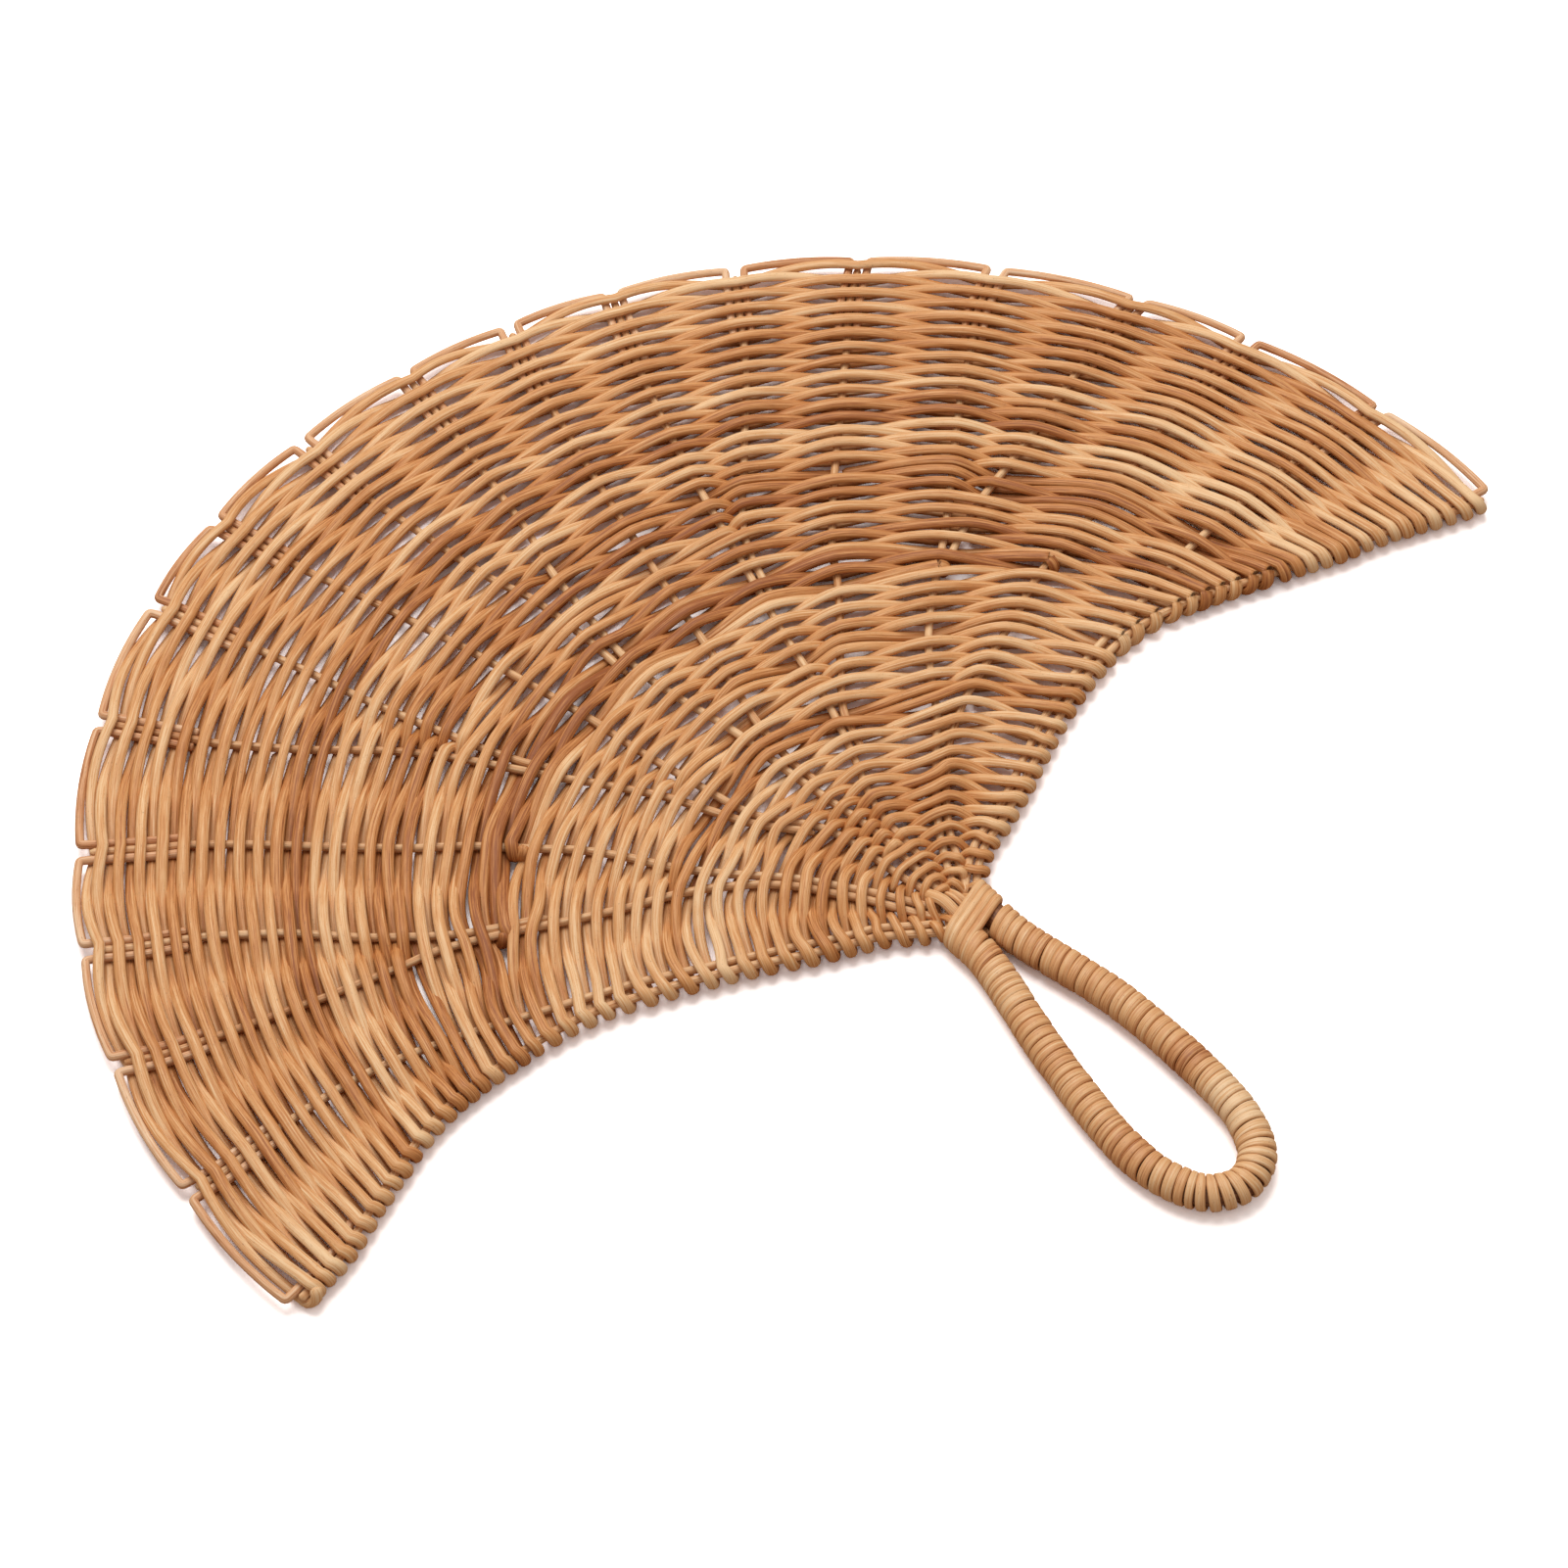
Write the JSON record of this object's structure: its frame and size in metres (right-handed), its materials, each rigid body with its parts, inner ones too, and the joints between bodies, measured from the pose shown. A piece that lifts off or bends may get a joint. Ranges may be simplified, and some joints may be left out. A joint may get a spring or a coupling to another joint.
{
  "type": "rattan wall fan",
  "caption": "Half-moon woven rattan fan with radiating ribs, a scalloped rim of bent arches and a teardrop hand loop wound with strip.",
  "frame": {"origin": "middle of the overall width and length, at the height of the surface that the fan lies on with its front up", "axes": "+X across the fan, +Y from the hand loop to the rim, +Z out of the front"},
  "size_m": [0.4462, 0.3834, 0.01],
  "materials": {
    "rib_core": "natural round rattan core, matt",
    "weaver_core": "natural round rattan core, matt",
    "rim_core": "natural round rattan core, steam bent, matt",
    "handle_pole": "thick rattan pole, steam bent",
    "handle_strip": "split rattan strip, satin"
  },
  "bodies": {
    "root": {"rib_01": "rib_core", "rib_02": "rib_core", "rib_03": "rib_core", "rib_04": "rib_core", "rib_05": "rib_core", "rib_06": "rib_core", "rib_07": "rib_core", "rib_08": "rib_core", "rib_09": "rib_core", "rib_10": "rib_core", "rib_11": "rib_core", "rib_12": "rib_core", "rib_13": "rib_core", "rib_14": "rib_core", "rib_15": "rib_core", "rib_16": "rib_core", "rib_17": "rib_core", "rib_18": "rib_core", "rib_19": "rib_core", "rim_arch_01": "rim_core", "rim_arch_02": "rim_core", "rim_arch_03": "rim_core", "rim_arch_04": "rim_core", "rim_arch_05": "rim_core", "rim_arch_06": "rim_core", "rim_arch_07": "rim_core", "rim_arch_08": "rim_core", "rim_arch_09": "rim_core", "rim_arch_10": "rim_core", "rim_arch_11": "rim_core", "rim_arch_12": "rim_core", "rim_arch_13": "rim_core", "rim_arch_14": "rim_core", "rim_arch_15": "rim_core", "rim_arch_16": "rim_core", "rim_arch_17": "rim_core", "rim_arch_18": "rim_core", "weaver_01": "weaver_core", "weaver_02": "weaver_core", "weaver_03": "weaver_core", "weaver_04": "weaver_core", "weaver_05": "weaver_core", "weaver_06": "weaver_core", "weaver_07": "weaver_core", "weaver_08": "weaver_core", "weaver_09": "weaver_core", "weaver_10": "weaver_core", "weaver_11": "weaver_core", "weaver_12": "weaver_core", "weaver_13": "weaver_core", "weaver_14": "weaver_core", "gore_weaver_wide": "weaver_core", "gore_weaver_narrow": "weaver_core", "handle_core": "handle_pole", "handle_wrap": "handle_strip", "neck_lashing": "handle_strip", "hub_strand_left": "weaver_core", "hub_strand_right": "weaver_core"}
  },
  "joints": []
}
